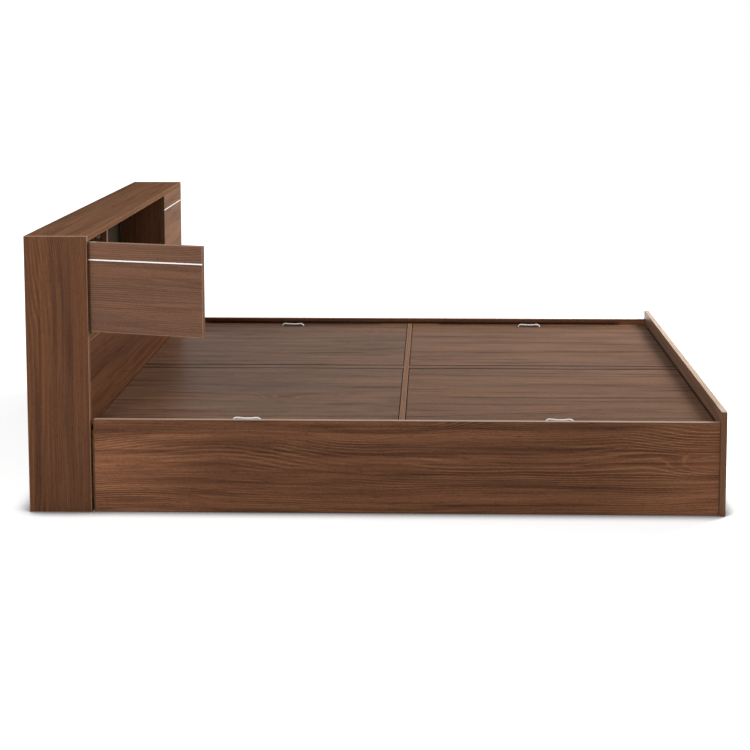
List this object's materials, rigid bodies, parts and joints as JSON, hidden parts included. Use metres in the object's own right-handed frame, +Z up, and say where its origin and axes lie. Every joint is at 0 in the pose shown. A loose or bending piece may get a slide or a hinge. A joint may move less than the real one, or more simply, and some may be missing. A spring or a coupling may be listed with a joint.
{
  "type": "storage platform bed",
  "caption": "Low box-storage platform bed of walnut-look board with lift-up deck boards and a headboard with an open niche between cabinets.",
  "frame": {"origin": "on the floor under the middle of the cross divider, on its bottom edge", "axes": "+X along the bed towards the foot, +Y to the right as seen from the foot, +Z up"},
  "size_m": [2.204, 1.9465, 0.884],
  "materials": {
    "walnut": "satin walnut-look laminate",
    "walnut_deck": "satin walnut-look laminate",
    "cabinet_back": "dark laminate",
    "raw_board": "plain particle board",
    "pine": "planed softwood",
    "white_strip": "satin white",
    "cord": "braided cord",
    "steel": "zinc plated",
    "nylon": "brown nylon",
    "catch_plastic": "brown plastic"
  },
  "bodies": {
    "frame": {"headboard_end_left": "walnut", "headboard_end_right": "walnut", "headboard_top": "walnut", "headboard_back": "cabinet_back", "headboard_front": "walnut", "headboard_shelf": "walnut", "headboard_stiffeners": "raw_board", "partition_left": "walnut", "partition_right": "walnut", "pivot_bushes": "nylon", "door_catches": "catch_plastic", "side_panel_left": "walnut", "side_panel_right": "walnut", "foot_panel": "walnut", "cross_divider": "walnut", "centre_divider_head": "raw_board", "centre_divider_foot": "raw_board", "centre_rail_head": "walnut", "centre_rail_foot": "walnut", "side_cleats": "pine", "head_cleats": "pine", "foot_cleats": "pine", "cross_cleats": "pine", "centre_cleats": "pine", "corner_posts": "pine", "floor_battens": "pine", "cam_fittings_headboard": "steel", "cam_fittings_base": "steel", "cleat_screws": "steel", "post_screws": "steel", "floor_board_left_head": "raw_board", "floor_board_left_foot": "raw_board", "floor_board_right_head": "raw_board", "floor_board_right_foot": "raw_board"},
    "left_door": {"door_left": "walnut", "door_strip_left": "white_strip", "door_pivots_left": "steel", "door_strike_left": "steel"},
    "right_door": {"door_right": "walnut", "door_strip_right": "white_strip", "door_pivots_right": "steel", "door_strike_right": "steel"},
    "left_head_lid": {"lid_left_head": "walnut_deck", "cord_pull_left_head": "cord"},
    "left_foot_lid": {"lid_left_foot": "walnut_deck", "cord_pull_left_foot": "cord"},
    "right_head_lid": {"lid_right_head": "walnut_deck", "cord_pull_right_head": "cord"},
    "right_foot_lid": {"lid_right_foot": "walnut_deck", "cord_pull_right_foot": "cord"}
  },
  "joints": [
    {"name": "left_door_swing", "type": "hinge", "parent": "frame", "child": "left_door", "pos_m": [-0.989, -0.907, 0.72], "axis": [0, 0, 1], "range_deg": [0, 105]},
    {"name": "right_door_swing", "type": "hinge", "parent": "frame", "child": "right_door", "pos_m": [-0.989, 0.907, 0.72], "axis": [0, 0, 1], "range_deg": [0, 105]},
    {"name": "left_head_lid_lift", "type": "hinge", "parent": "frame", "child": "left_head_lid", "pos_m": [-0.4965, -0.03, 0.279], "axis": [-1, 0, 0], "range_deg": [0, 80]},
    {"name": "left_foot_lid_lift", "type": "hinge", "parent": "frame", "child": "left_foot_lid", "pos_m": [0.5065, -0.03, 0.279], "axis": [-1, 0, 0], "range_deg": [0, 80]},
    {"name": "right_head_lid_lift", "type": "hinge", "parent": "frame", "child": "right_head_lid", "pos_m": [-0.4965, 0.03, 0.279], "axis": [1, 0, 0], "range_deg": [0, 80]},
    {"name": "right_foot_lid_lift", "type": "hinge", "parent": "frame", "child": "right_foot_lid", "pos_m": [0.5065, 0.03, 0.279], "axis": [1, 0, 0], "range_deg": [0, 80]}
  ]
}
